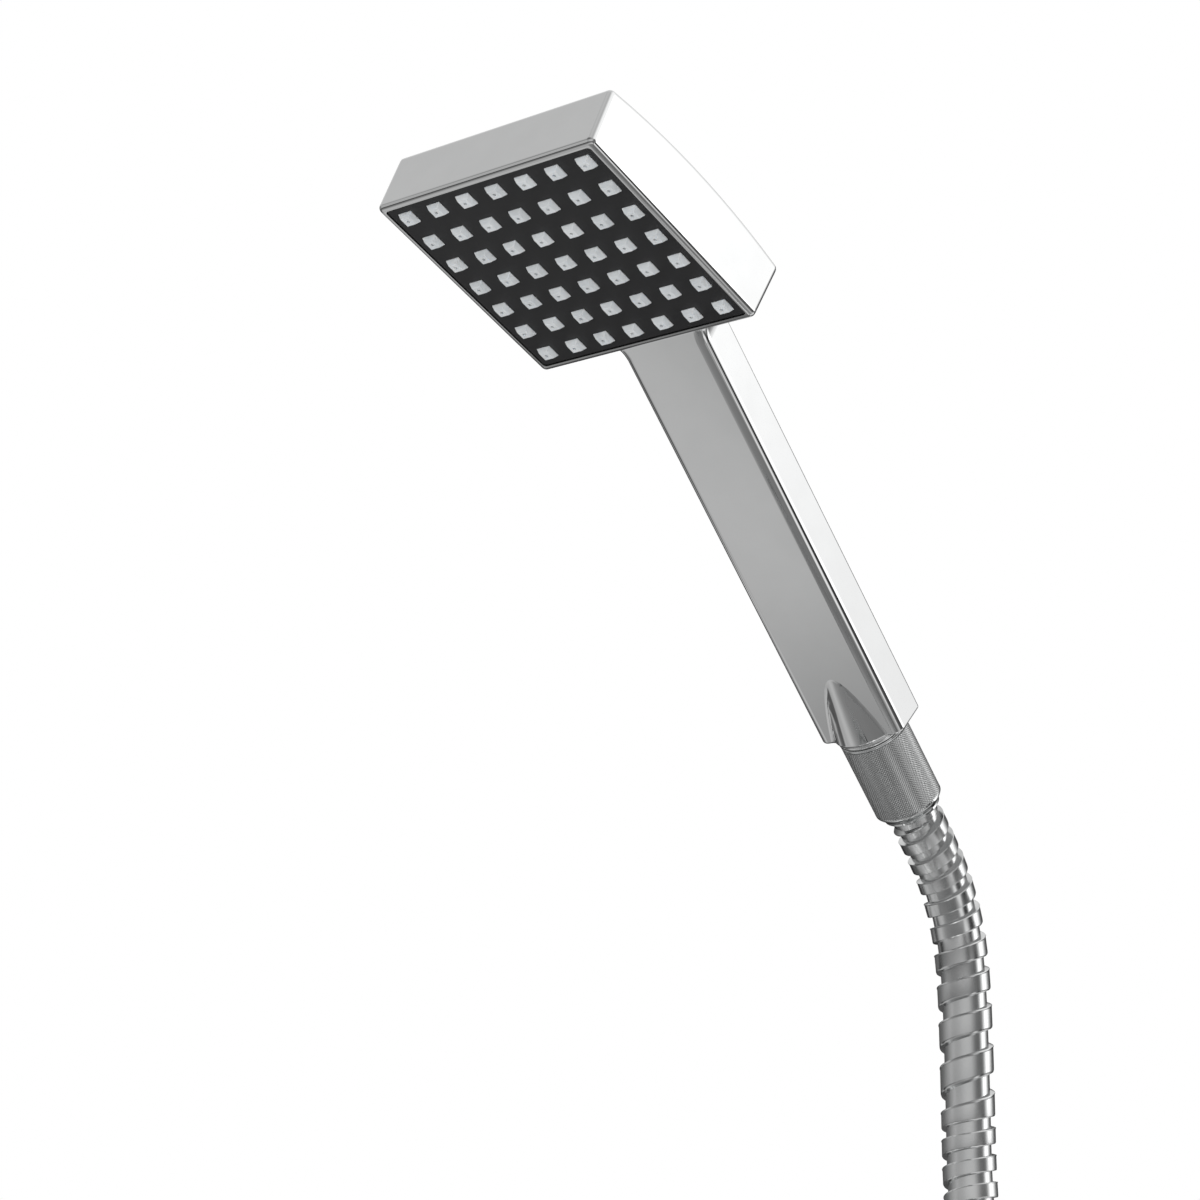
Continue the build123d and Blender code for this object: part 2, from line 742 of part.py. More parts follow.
with BuildPart() as crimp_sleeve:
    with BuildSketch(inlet.offset(lip_end + loose_gap)):
        Circle(sleeve_r)
        Circle(neck_r, mode=Mode.SUBTRACT)
    extrude(amount=hose_start - lip_end - loose_gap)
crimp_sleeve.part.label = "crimp_sleeve"
export_step(crimp_sleeve.part, "parts/crimp_sleeve.step")

# Route of the hose from the ferrule down to the coil, points chosen by eye
exit_run = 19.0
hose_exit = along * hose_start
coil_centre = Vector(0, -110.4, -232.5)
drop_points = [
    hose_exit,
    hose_exit + along * exit_run,
    Vector(0, 48.4, -57.2),
    Vector(0, 53.2, -75.5),
    Vector(0, 53.7, -112.0),
    Vector(0, 53.0, -156.0),
    Vector(10.3, 43.8, -189.3),
    Vector(29.3, 26.9, -214.8),
    Vector(49.4, 8.9, -227.9),
    Vector(67.0, -6.7, coil_centre.Z),
    Vector(81.2, -19.4, coil_centre.Z),
]

# Coil that the rest of the hose is wound into, flat, inwards and clockwise seen from above
coil_start_r = 122.0
coil_start_angle = 48.27
coil_step = 18.6           # from one turn to the next
coil_turns = 1.465
coil_end_r = coil_start_r - coil_step * coil_turns
coil_end_angle = coil_start_angle - 360 * coil_turns


def coil_point(radius, swept, rise):
    """A point of the tail: radius about the coil, degrees past its end, height over it."""
    angle = math.radians(coil_end_angle - swept)
    return coil_centre + Vector(radius * math.cos(angle), radius * math.sin(angle), rise)


tail_points = [
    coil_point(97.0, 0, 0),
    coil_point(96.0, 25.5, 0.5),
    coil_point(92.0, 51.5, 1.2),
    coil_point(85.5, 78.5, 2.0),
    coil_point(77.5, 107, 2.9),
    coil_point(70.5, 135, 3.7),
    coil_point(68.3, 151.5, 4.0),
]


def corner_radii(points):
    """Each corner's arc takes 0.45 of the shorter run beside it."""
    radii = []
    for before, here, after in zip(points, points[1:], points[2:]):
        turn = math.radians((here - before).get_angle(after - here))
        shorter = min((here - before).length, (after - here).length)
        radii.append(0.45 * shorter / math.tan(turn / 2))
    return radii


drop_radii = corner_radii(drop_points)
tail_radii = corner_radii(tail_points)

with BuildPart() as hose_drop:
    with BuildLine() as drop_line:
        drop_run = FilletPolyline(*drop_points, radius=drop_radii)
    with BuildSketch(inlet.offset(hose_start)):
        Circle(hose_r)
        Circle(hose_bore_r, mode=Mode.SUBTRACT)
    sweep()
hose_drop.part.label = "hose_drop"
export_step(hose_drop.part, "parts/hose_drop.step")

with BuildPart() as hose_tail:
    with BuildLine() as tail_line:
        tail_run = FilletPolyline(*tail_points, radius=tail_radii)
    with BuildSketch(Plane(origin=tail_run @ 0, z_dir=tail_run % 0)):
        Circle(hose_r)
        Circle(hose_bore_r, mode=Mode.SUBTRACT)
    sweep()
hose_tail.part.label = "hose_tail"
export_step(hose_tail.part, "parts/hose_tail.step")

# Where the fitting on the wall end lies, in the room that the coil leaves for it
wall_way = tail_run % 1
wall_end = Plane(origin=tail_run @ 1, z_dir=wall_way)
wall_grip = Plane(origin=tail_run @ 1, x_dir=wall_way, z_dir=wall_end.x_dir)
wall_axis = Axis(tail_run @ 1, wall_way)
wall_sleeve_long = 16.2
wall_nut_top = wall_sleeve_long + loose_gap
wall_flange_top = wall_nut_top + lip_thick + running_gap
wall_flange_end = wall_flange_top + flange_thick
wall_nut_end = 33.0
hex_across = 24.5
hex_chamfer = 1.2
hex_corner = hex_across / 2 / math.cos(math.radians(30))
wall_seat = wall_flange_end + washer_thick + running_gap
wall_room = 12.0           # free length in front of the nut's mouth

with BuildPart() as hose_coil:
    with BuildSketch(Plane(origin=coil_centre - Vector(0, 0, hose_r))):
        Circle(coil_start_r + hose_r)
        Circle(coil_end_r - hose_r, mode=Mode.SUBTRACT)
    extrude(amount=2 * hose_r)
    with BuildSketch(inlet.offset(hose_start)):
        Circle(hose_r + loose_gap)
    sweep(path=drop_line.line, mode=Mode.SUBTRACT)
    with BuildSketch(Plane(origin=tail_run @ 0, z_dir=tail_run % 0)):
        Circle(hose_r + loose_gap)
    sweep(path=tail_line.line, mode=Mode.SUBTRACT)
    with BuildSketch(wall_end):
        Circle(hex_corner + loose_gap)
    extrude(amount=wall_nut_end + wall_room, mode=Mode.SUBTRACT)
hose_coil.part.label = "hose_coil"
export_step(hose_coil.part, "parts/hose_coil.step")

# Strap that ties the coil
tie_angle = -60.0
tie_wide = 9.0
tie_thick = 1.2
tie_way = Vector(math.cos(math.radians(tie_angle)), math.sin(math.radians(tie_angle)))
tie_hole = (coil_step * coil_turns + 2 * hose_r + 2 * loose_gap, 2 * hose_r + 2 * loose_gap)

with BuildPart() as coil_tie:
    tie_centre = coil_centre + tie_way * ((coil_start_r + coil_end_r) / 2)
    with BuildSketch(Plane(origin=tie_centre, x_dir=tie_way, z_dir=(-tie_way.Y, tie_way.X, 0))):
        Rectangle(tie_hole[0] + 2 * tie_thick, tie_hole[1] + 2 * tie_thick)
        Rectangle(*tie_hole, mode=Mode.SUBTRACT)
    extrude(amount=tie_wide / 2, both=True)
coil_tie.part.label = "coil_tie"
export_step(coil_tie.part, "parts/coil_tie.step")

# Fitting on the wall end: crimp sleeve, ferrule, hex nut and washer
with BuildPart() as wall_sleeve:
    with BuildSketch(wall_end):
        Circle(sleeve_r)
        Circle(neck_r, mode=Mode.SUBTRACT)
    extrude(amount=wall_sleeve_long)
wall_sleeve.part.label = "wall_sleeve"
export_step(wall_sleeve.part, "parts/wall_sleeve.step")

with BuildPart() as wall_ferrule:
    with BuildSketch(wall_grip):
        with BuildLine():
            Polyline(
                (-barb_long, ferrule_bore_r),
                (-barb_long, barb_r),
                (0, barb_r),
                (0, neck_r),
                (wall_flange_top, neck_r),
                (wall_flange_top, flange_r),
                (wall_flange_end, flange_r),
                (wall_flange_end, ferrule_bore_r),
                close=True,
            )
        make_face()
    revolve(axis=wall_axis)
wall_ferrule.part.label = "wall_ferrule"
export_step(wall_ferrule.part, "parts/wall_ferrule.step")

with BuildPart() as wall_washer:
    with BuildSketch(wall_end.offset(wall_flange_end)):
        Circle(washer_r)
        Circle(washer_bore_r, mode=Mode.SUBTRACT)
    extrude(amount=washer_thick)
wall_washer.part.label = "wall_washer"
export_step(wall_washer.part, "parts/wall_washer.step")

with BuildPart() as wall_nut:
    with BuildSketch(wall_end.offset(wall_nut_top)):
        RegularPolygon(hex_across / 2, 6, major_radius=False)
    extrude(amount=wall_nut_end - wall_nut_top)
    with BuildSketch(wall_grip):
        with BuildLine():
            Polyline(
                (wall_nut_top, lip_r),
                (wall_nut_top, hex_across / 2),
                (wall_nut_top + hex_chamfer, hex_corner),
                (wall_nut_end - hex_chamfer, hex_corner),
                (wall_nut_end, hex_across / 2),
                (wall_nut_end, thread_r),
                (wall_seat, thread_r),
                (wall_seat, flange_r + loose_gap),
                (wall_flange_top - running_gap, flange_r + loose_gap),
                (wall_flange_top - running_gap, lip_r),
                close=True,
            )
        make_face()
    revolve(axis=wall_axis, mode=Mode.INTERSECT)
wall_nut.part.label = "wall_nut"
export_step(wall_nut.part, "parts/wall_nut.step")

# Lengths and radii of the hose
coil_long = math.pi * coil_turns * (coil_start_r + coil_end_r)
hose_long = drop_run.length + coil_long + tail_run.length
section = math.pi * (hose_r**2 - hose_bore_r**2)
print("drop radii", [round(r, 1) for r in drop_radii])
print("tail radii", [round(r, 1) for r in tail_radii])
print("hose length", round(hose_long, 1), "coil", round(coil_long, 1))
print("drop volume to section times length", hose_drop.part.volume / (section * drop_run.length))
print("tail volume to section times length", hose_tail.part.volume / (section * tail_run.length))
print("strap lies at", round(coil_centre.Z - hose_r - loose_gap - tie_thick, 2))
print("wall nut at", wall_end.origin + wall_way * wall_nut_end, "along", wall_way)
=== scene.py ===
"""Looks of a handheld shower head: chromed body, black spray face with soft square nozzles,
knurled hose nut, and a spiral steel hose whose spare length is put away in a tied coil."""

import json
import math

import bpy
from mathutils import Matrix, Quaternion, Vector


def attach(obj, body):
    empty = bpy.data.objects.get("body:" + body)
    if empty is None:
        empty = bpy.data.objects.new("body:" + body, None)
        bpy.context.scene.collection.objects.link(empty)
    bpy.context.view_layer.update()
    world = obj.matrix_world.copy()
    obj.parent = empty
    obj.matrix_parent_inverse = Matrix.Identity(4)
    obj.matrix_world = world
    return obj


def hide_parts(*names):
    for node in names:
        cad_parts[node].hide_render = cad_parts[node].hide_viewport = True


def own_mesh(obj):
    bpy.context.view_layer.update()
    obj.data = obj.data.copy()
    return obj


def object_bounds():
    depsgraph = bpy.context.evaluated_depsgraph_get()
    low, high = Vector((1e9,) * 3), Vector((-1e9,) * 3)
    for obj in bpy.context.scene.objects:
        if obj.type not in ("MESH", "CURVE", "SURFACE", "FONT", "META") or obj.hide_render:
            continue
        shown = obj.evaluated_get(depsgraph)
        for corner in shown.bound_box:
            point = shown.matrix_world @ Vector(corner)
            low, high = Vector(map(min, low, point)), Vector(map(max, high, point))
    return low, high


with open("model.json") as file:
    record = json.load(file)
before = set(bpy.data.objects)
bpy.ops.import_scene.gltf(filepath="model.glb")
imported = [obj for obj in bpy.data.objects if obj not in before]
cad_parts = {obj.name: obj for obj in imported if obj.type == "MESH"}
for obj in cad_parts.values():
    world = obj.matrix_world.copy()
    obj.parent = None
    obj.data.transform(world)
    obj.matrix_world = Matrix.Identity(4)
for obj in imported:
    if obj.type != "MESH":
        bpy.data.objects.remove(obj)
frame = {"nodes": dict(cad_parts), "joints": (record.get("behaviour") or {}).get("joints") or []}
cad_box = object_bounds()
nodes = frame["nodes"]
joints = {joint["name"]: joint for joint in frame["joints"]}

# Camera
CAMERA_PLACE = Vector((0.5185, -0.7706, -0.1761))
CAMERA_WAY = Vector((-0.6187, 0.7511, 0.2307))
LENS_MM = 84.93
SENSOR_MM = 36.0

# Line of the handle, from its end towards the hose
HANDLE_WAY = Vector(joints["hose_nut_turn"]["axis"]).normalized()
HANDLE_END = Vector(joints["hose_nut_turn"]["pos_m"])

# Hose
HOSE_THICK = 0.018
HOSE_START = 0.0375        # from the handle's end to where the hose begins
FIRST_RUN = 0.0135         # straight on from there
HOSE_EXIT = HANDLE_END + HANDLE_WAY * HOSE_START

# Coil of the hose
COIL_CENTRE = Vector((0, -0.1104, -0.2325))
COIL_R = 0.122             # radius at its start
COIL_STEP = 0.0186         # by which the radius shrinks in a turn
COIL_TURNS = 1.465
COIL_ANGLE = 48.27         # degrees at its start
COIL_POINTS = 20
COIL_END_ANGLE = COIL_ANGLE - 360 * COIL_TURNS

# Spiral strip of the hose
BAND_R = 0.0092            # outside of the strip
GROOVE_R = 0.0075          # bottom of the groove between its turns
FIRST_PITCH = 0.0084       # length of hose in the first turn
STRETCHED_TURN = 9.6       # the turns open up to this one
STRETCH = 0.0235           # length that the opened turns add
STRETCH_POWER = 3.7        # how late they open
LATER_PITCH = 0.0091       # length of hose in a turn after that
EASED_TURNS = 0.3          # turns over which the pitch drops, to each side
PITCH_DROP = FIRST_PITCH + STRETCH * STRETCH_POWER / STRETCHED_TURN - LATER_PITCH
FINE_STEPS = 84            # steps in a turn, where the hose hangs
COARSE_STEPS = 28          # and in the coil
FINE_TURNS = 19
STRIP_MERGE = 0.00001      # points of the strip that are nearer than this are one

# One turn of the strip: share of the pitch, and share of the groove's depth
STRIP_OUTLINE = [
    (0.0, 0.0),
    (0.03, 0.0),
    (0.32, 0.0),
    (0.345, 0.0),
    (0.352, 0.7),
    (0.362, 0.96),
    (0.376, 1.0),
    (0.392, 0.95),
    (0.408, 0.91),
    (0.425, 0.91),
    (0.86, 0.91),
    (0.9, 0.89),
    (0.93, 0.8),
    (0.955, 0.0),
]

# Hose nut
KNURL_DIAMONDS = 76
KNURL_DEEP = 0.00008
KNURL_GAP = 0.0001         # between the bead and the knurl
KNURL_FOOT = 0.0042        # smooth height at the nut's foot, at least
NUT_BEAD_R = 0.00055       # rounded ring over the knurl
BEAD_STEPS = 14
FOOT_RING_R = 0.01         # ring under the foot's slope
FOOT_RING_HIGH = 0.001
FOOT_RING_EDGE = 0.0003
FOOT_FILLET = (0.0013, 0.0002)   # height over the nut's end, and out from the ring
SKIRT_R = 0.0083           # bore at the nut's end
LIP_LEVELS = (0.01845, 0.0214)   # of the lip that the hose's ferrule sits on
THREAD_R = 0.01045
BARREL_SLACK = 0.00002     # points this near the barrel's radius are on it
ROW_SLACK = 0.1
TURNED_MERGE = 0.000002    # points of a turned ring that are nearer than this are one

# Slope of the nut's foot: height over the nut's end, and depth under the barrel
FOOT_SLOPE = [
    (0.0035, 0.0),
    (0.0034, 0.00002),
    (0.003, 0.0003),
    (0.0024, 0.0008),
    (0.0018, 0.0013),
]

# Spring of the check valve
SPRING_R = 0.0026
SPRING_WIRE_R = 0.0003
SPRING_TURNS = 4
SPRING_STEPS = 32          # steps in a turn
WIRE_SIDES = 12

# Strap of the coil
STRAP_ANGLE = -60.0        # degrees at which it holds the coil
STRAP_WIDE = 0.009
STRAP_THICK = 0.0012
STRAP_EDGE = 0.0003        # rounding of its edges
STRAP_GAP = 0.0002         # between the strap and the hose
STRAP_SIDES = 64
MIDDLE_SLACK = 0.00001     # points this near the strap's middle stay there


def pick(piece):
    """Only this piece is selected and active."""
    bpy.ops.object.select_all(action="DESELECT")
    piece.select_set(True)
    bpy.context.view_layer.objects.active = piece


def new_piece(name, points, edges, faces):
    mesh = bpy.data.meshes.new(name)
    mesh.from_pydata(points, edges, faces)
    piece = bpy.data.objects.new(name, mesh)
    bpy.context.collection.objects.link(piece)
    pick(piece)
    return piece


def unselect_mesh(piece):
    """No face or edge of the piece is selected, so that its points alone can be."""
    for polygon in piece.data.polygons:
        polygon.select = False
    for edge in piece.data.edges:
        edge.select = False


def close_holes():
    """In edit mode, fills each open loop of edges and turns all faces outwards."""
    bpy.ops.mesh.select_all(action="DESELECT")
    bpy.ops.mesh.select_non_manifold()
    bpy.ops.mesh.fill_holes(sides=0)
    bpy.ops.mesh.select_all(action="SELECT")
    bpy.ops.mesh.normals_make_consistent(inside=False)


def smooth_below(degrees):
    """The active piece is smooth across edges that are flatter than this."""
    bpy.ops.object.shade_smooth_by_angle(angle=math.radians(degrees))


def set_along(piece, place, way):
    """Turns the piece's Z along the way, moves it there and leaves its object at the origin."""
    piece.rotation_mode = "QUATERNION"
    piece.rotation_quaternion = way.to_track_quat("Z", "Y")
    piece.location = place
    pick(piece)
    bpy.ops.object.transform_apply(location=True, rotation=True, scale=True)


def finish_with(piece, body, material):
    """The piece moves with its body and takes its finish."""
    piece.data.materials.clear()
    piece.data.materials.append(material)
    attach(piece, body)


def camera():
    bpy.ops.object.camera_add(location=CAMERA_PLACE)
    eye = bpy.context.object
    eye.rotation_mode = "QUATERNION"
    eye.rotation_quaternion = CAMERA_WAY.to_track_quat("-Z", "Y")
    eye.data.lens = LENS_MM
    eye.data.sensor_width = SENSOR_MM
    bpy.context.scene.camera = eye


# Nodes that the materials and the studio share
def outcome(tree, operation, *terms):
    """What a Math node makes of its terms, which are sockets or plain numbers."""
    node = tree.nodes.new("ShaderNodeMath")
    node.operation = operation
    for term, socket in zip(terms, node.inputs):
        if isinstance(term, float):
            socket.default_value = term
        else:
            tree.links.new(term, socket)
    return node.outputs["Value"]


def plain(tree, colour):
    """A colour that is the same all over."""
    node = tree.nodes.new("ShaderNodeRGB")
    node.outputs["Color"].default_value = (*colour, 1)
    return node.outputs["Color"]


def mix_of(tree, share, first, second):
    """The first colour where the share is 0, and the second where it is 1."""
    mixed = tree.nodes.new("ShaderNodeMix")
    mixed.data_type = "RGBA"
    tree.links.new(share, mixed.inputs["Factor"])
    tree.links.new(first, mixed.inputs["A"])
    tree.links.new(second, mixed.inputs["B"])
    return mixed.outputs["Result"]


def shader_mix(tree, share, first, second):
    """The first shader where the share is 0, and the second where it is 1."""
    mixed = tree.nodes.new("ShaderNodeMixShader")
    tree.links.new(share, mixed.inputs["Fac"])
    tree.links.new(first, mixed.inputs[1])
    tree.links.new(second, mixed.inputs[2])
    return mixed.outputs["Shader"]


def noise(tree, place, scale, detail=3.0):
    texture = tree.nodes.new("ShaderNodeTexNoise")
    texture.inputs["Scale"].default_value = scale
    texture.inputs["Detail"].default_value = detail
    tree.links.new(place, texture.inputs["Vector"])
    return texture.outputs["Fac"]


# Materials
METAL_CLOUDS = 90.0        # scales of the patterns in a material
METAL_RIPPLE = 260.0
PLASTIC_CLOUDS = 140.0
GRAIN_DETAIL = 2.0
BUMP_HIGH = 0.0002
POLISHED = 0.06            # roughness of the nut's bead and foot
# Painted shade: the darker grey that the knurl's sunk points take
GROOVE_SHADE_GREY = (0.44, 0.445, 0.445)


def blank_material(name):
    """A new material: its node tree, its shader and the piece's own coordinates."""
    material = bpy.data.materials.new(name)
    material.use_nodes = True
    tree = material.node_tree
    place = tree.nodes.new("ShaderNodeTexCoord").outputs["Object"]
    return material, tree, tree.nodes["Principled BSDF"], place


def spread(tree, value, low, high):
    """The value, from about a third to two thirds, spread from low to high."""
    ranged = tree.nodes.new("ShaderNodeMapRange")
    ranged.inputs["From Min"].default_value = 0.33
    ranged.inputs["From Max"].default_value = 0.67
    ranged.inputs["To Min"].default_value = low
    ranged.inputs["To Max"].default_value = high
    tree.links.new(value, ranged.inputs["Value"])
    return ranged.outputs["Result"]


def tint(tree, value, dark, light):
    """Colour from dark to light as the value goes from low to high."""
    ramp = tree.nodes.new("ShaderNodeValToRGB")
    ramp.color_ramp.elements[0].position = 0.35
    ramp.color_ramp.elements[0].color = (*dark, 1)
    ramp.color_ramp.elements[1].position = 0.65
    ramp.color_ramp.elements[1].color = (*light, 1)
    tree.links.new(value, ramp.inputs["Fac"])
    return ramp.outputs["Color"]


def roughen(tree, shader, height, strength):
    """The height moves the surface's normal a little."""
    bump = tree.nodes.new("ShaderNodeBump")
    bump.inputs["Strength"].default_value = strength
    bump.inputs["Distance"].default_value = BUMP_HIGH
    tree.links.new(height, bump.inputs["Height"])
    tree.links.new(bump.outputs["Normal"], shader.inputs["Normal"])


def metal(name, dark, light, smooth, rough, ripple):
    """A plated or bare metal, with faint clouds in its gloss and a slight ripple."""
    material, tree, shader, place = blank_material(name)
    shader.inputs["Metallic"].default_value = 1.0
    clouds = noise(tree, place, METAL_CLOUDS)
    tree.links.new(tint(tree, clouds, dark, light), shader.inputs["Base Color"])
    tree.links.new(spread(tree, clouds, smooth, rough), shader.inputs["Roughness"])
    roughen(tree, shader, noise(tree, place, METAL_RIPPLE), ripple)
    return material


def point_value(tree, name):
    """A value that the piece's points carry."""
    node = tree.nodes.new("ShaderNodeAttribute")
    node.attribute_name = name
    return node.outputs["Fac"]


def knurled_metal(name):
    """Plated metal: polished on the bead and foot, satin on the knurl, with painted shade in its
    grooves.
    """
    material = metal(name, (0.8, 0.81, 0.81), (0.86, 0.87, 0.87), 0.2, 0.25, 0.01)
    tree = material.node_tree
    shader = tree.nodes["Principled BSDF"]
    plated = shader.inputs["Base Color"].links[0].from_socket
    # Painted shade: the knurl's sunk points mix towards the darker grey
    groove_shaded = mix_of(tree, point_value(tree, "groove"), plated, plain(tree, GROOVE_SHADE_GREY))
    tree.links.new(groove_shaded, shader.inputs["Base Color"])
    satin = shader.inputs["Roughness"].links[0].from_socket
    gloss = tree.nodes.new("ShaderNodeMix")
    gloss.inputs["A"].default_value = POLISHED
    tree.links.new(point_value(tree, "barrel"), gloss.inputs["Factor"])
    tree.links.new(satin, gloss.inputs["B"])
    tree.links.new(gloss.outputs["Result"], shader.inputs["Roughness"])
    return material


def moulded(name, dark, light, smooth, rough, grain_scale, grain):
    """A moulded plastic or rubber with a fine grain."""
    material, tree, shader, place = blank_material(name)
    clouds = noise(tree, place, PLASTIC_CLOUDS)
    tree.links.new(tint(tree, clouds, dark, light), shader.inputs["Base Color"])
    tree.links.new(spread(tree, clouds, smooth, rough), shader.inputs["Roughness"])
    roughen(tree, shader, noise(tree, place, grain_scale, GRAIN_DETAIL), grain)
    return material


def silicone(name):
    """Soft translucent grey, a little cloudy."""
    material = moulded(name, (0.62, 0.645, 0.66), (0.7, 0.725, 0.74), 0.36, 0.46, 2600.0, 0.08)
    shader = material.node_tree.nodes["Principled BSDF"]
    shader.inputs["Subsurface Weight"].default_value = 0.35
    shader.inputs["Subsurface Radius"].default_value = (0.0012, 0.0013, 0.0014)
    shader.inputs["Subsurface Scale"].default_value = 1.0
    return material


chrome = metal("chrome", (0.84, 0.845, 0.845), (0.86, 0.865, 0.865), 0.045, 0.07, 0.004)
nut_chrome = knurled_metal("nut_chrome")
hose_steel = metal("hose_steel", (0.79, 0.8, 0.8), (0.86, 0.865, 0.865), 0.17, 0.21, 0.008)
brass = metal("brass", (0.66, 0.48, 0.2), (0.76, 0.59, 0.28), 0.22, 0.34, 0.05)
steel = metal("steel", (0.52, 0.52, 0.53), (0.62, 0.62, 0.63), 0.25, 0.38, 0.05)
black_plate = moulded(
    "black_plate", (0.012, 0.012, 0.013), (0.016, 0.016, 0.017), 0.4, 0.5, 3200.0, 0.1
)
nozzle_silicone = silicone("nozzle_silicone")
seal_rubber = moulded(
    "seal_rubber", (0.014, 0.014, 0.014), (0.026, 0.026, 0.026), 0.6, 0.75, 2200.0, 0.2
)
white_plastic = moulded(
    "white_plastic", (0.72, 0.72, 0.69), (0.82, 0.82, 0.8), 0.4, 0.5, 1500.0, 0.1
)
grey_plastic = moulded(
    "grey_plastic", (0.27, 0.28, 0.29), (0.36, 0.37, 0.38), 0.4, 0.52, 1500.0, 0.12
)
strap_weave = moulded(
    "strap_weave", (0.018, 0.018, 0.02), (0.04, 0.04, 0.042), 0.75, 0.9, 900.0, 0.5
)

NODE_FINISH = {
    "body_shell": chrome,
    "face_plate": black_plate,
    "nozzle_pad": nozzle_silicone,
    "face_gasket": seal_rubber,
    "spray_manifold": white_plastic,
    "manifold_screws": steel,
    "water_tube": white_plastic,
    "tube_upper_o_ring": seal_rubber,
    "tube_lower_o_ring": seal_rubber,
    "handle_end_plug": white_plastic,
    "inlet_connector": chrome,
    "valve_housing": white_plastic,
    "valve_o_ring": seal_rubber,
    "valve_poppet": white_plastic,
    "poppet_seal": seal_rubber,
    "valve_spring": steel,
    "flow_limiter": grey_plastic,
    "hose_washer": seal_rubber,
    "filter_screen": steel,
    "hose_nut": nut_chrome,
    "hose_ferrule": brass,
    "crimp_sleeve": hose_steel,
    "wall_sleeve": hose_steel,
    "wall_ferrule": brass,
    "wall_washer": seal_rubber,
    "wall_nut": chrome,
}


def dress_nodes():
    for name, material in NODE_FINISH.items():
        nodes[name].data.materials.clear()
        nodes[name].data.materials.append(material)


# Hose
def coil_place(radius, angle, rise):
    turn = math.radians(angle)
    return COIL_CENTRE + Vector((radius * math.cos(turn), radius * math.sin(turn), rise))


def hose_route():
    """Control points of the hose: down from the nut, round the coil, and in to the wall end."""
    drop = [
        HOSE_EXIT,
        HOSE_EXIT + HANDLE_WAY * FIRST_RUN,
        Vector((0, 0.0432, -0.0469)),
        Vector((0, 0.0503, -0.0615)),
        Vector((0, 0.0534, -0.0795)),
        Vector((0, 0.0537, -0.112)),
        Vector((0, 0.053, -0.156)),
        Vector((0.0103, 0.0438, -0.1893)),
        Vector((0.0293, 0.0269, -0.2148)),
        Vector((0.0494, 0.0089, -0.2279)),
        Vector((0.067, -0.0067, -0.2325)),
    ]
    coil = []
    spacing = COIL_TURNS / (COIL_POINTS + 0.5)
    for i in range(COIL_POINTS):
        turn = spacing * (i + 0.5)
        radius = (COIL_R - COIL_STEP * turn) / math.cos(math.pi * spacing)
        coil.append(coil_place(radius, COIL_ANGLE - 360 * turn, 0))
    tail = [
        coil_place(0.097, COIL_END_ANGLE, 0),
        coil_place(0.096, COIL_END_ANGLE - 25.5, 0.0005),
        coil_place(0.092, COIL_END_ANGLE - 51.5, 0.0012),
        coil_place(0.0855, COIL_END_ANGLE - 78.5, 0.002),
        coil_place(0.0775, COIL_END_ANGLE - 107, 0.0029),
        coil_place(0.0705, COIL_END_ANGLE - 135, 0.0037),
        coil_place(0.0683, COIL_END_ANGLE - 151.5, 0.004),
    ]
    return drop + coil + tail


def smooth_line(name, control):
    """Points along the smooth line that these control points shape."""
    curve = bpy.data.curves.new(name, "CURVE")
    curve.dimensions = "3D"
    curve.resolution_u = 24
    spline = curve.splines.new("NURBS")
    spline.points.add(len(control) - 1)
    for point, place in zip(spline.points, control):
        point.co = (*place, 1)
    spline.order_u = 3
    spline.use_endpoint_u = True
    guide = bpy.data.objects.new(name, curve)
    bpy.context.collection.objects.link(guide)
    drawn = bpy.data.meshes.new_from_object(guide)
    line = [vertex.co.copy() for vertex in drawn.vertices]
    bpy.data.objects.remove(guide)
    bpy.data.meshes.remove(drawn)
    return line


class Line:
    """A line in space with its length and a frame that doesn't twist along it."""

    def __init__(self, points, across):
        self.points = points
        self.at = [0.0]
        self.ways = []
        for here, there in zip(points, points[1:]):
            self.at.append(self.at[-1] + (there - here).length)
            self.ways.append((there - here).normalized())
        self.ways.append(self.ways[-1])
        self.long = self.at[-1]
        self.sides = [(across - self.ways[0] * across.dot(self.ways[0])).normalized()]
        for before, after in zip(self.ways, self.ways[1:]):
            side = before.rotation_difference(after) @ self.sides[-1]
            self.sides.append((side - after * side.dot(after)).normalized())
        self.step = 0

    def place(self, length):
        """The point, the way and the side at that length along the line."""
        while self.step and self.at[self.step] > length:
            self.step -= 1
        while self.step < len(self.points) - 2 and self.at[self.step + 1] < length:
            self.step += 1
        i = self.step
        share = (length - self.at[i]) / (self.at[i + 1] - self.at[i])
        point = self.points[i].lerp(self.points[i + 1], share)
        way = self.ways[i].lerp(self.ways[i + 1], share).normalized()
        side = self.sides[i].lerp(self.sides[i + 1], share)
        return point, way, (side - way * side.dot(way)).normalized()


def hose_at(turn):
    """Length of hose up to a turn of its spiral. The turns open up to the stretched one."""
    opened = min(turn, STRETCHED_TURN)
    share = max(opened, 0.0) / STRETCHED_TURN
    stretched = FIRST_PITCH * opened + STRETCH * share**STRETCH_POWER
    easing = max(EASED_TURNS - abs(turn - STRETCHED_TURN), 0.0)
    eased = PITCH_DROP * easing**2 / (4 * EASED_TURNS)
    return stretched + LATER_PITCH * (turn - opened) - eased


def strip_point(line, turn, angle, depth):
    """A point of the strip. Past the hose's ends it closes on the groove's radius."""
    length = hose_at(turn)
    if length <= 0 or length >= line.long:
        depth = 0.0
        length = min(max(length, 0.0), line.long)
    point, way, side = line.place(length)
    radius = GROOVE_R + (BAND_R - GROOVE_R) * depth
    return point + Quaternion(way, angle) @ side * radius


def strip_rows(turns):
    """Turns of the spiral at which the strip has a row of points, from a turn before its start."""
    fine = [i / FINE_STEPS - 1 for i in range((FINE_TURNS + 1) * FINE_STEPS)]
    coarse = [FINE_TURNS + i / COARSE_STEPS for i in range((turns - FINE_TURNS) * COARSE_STEPS + 1)]
    return fine + coarse


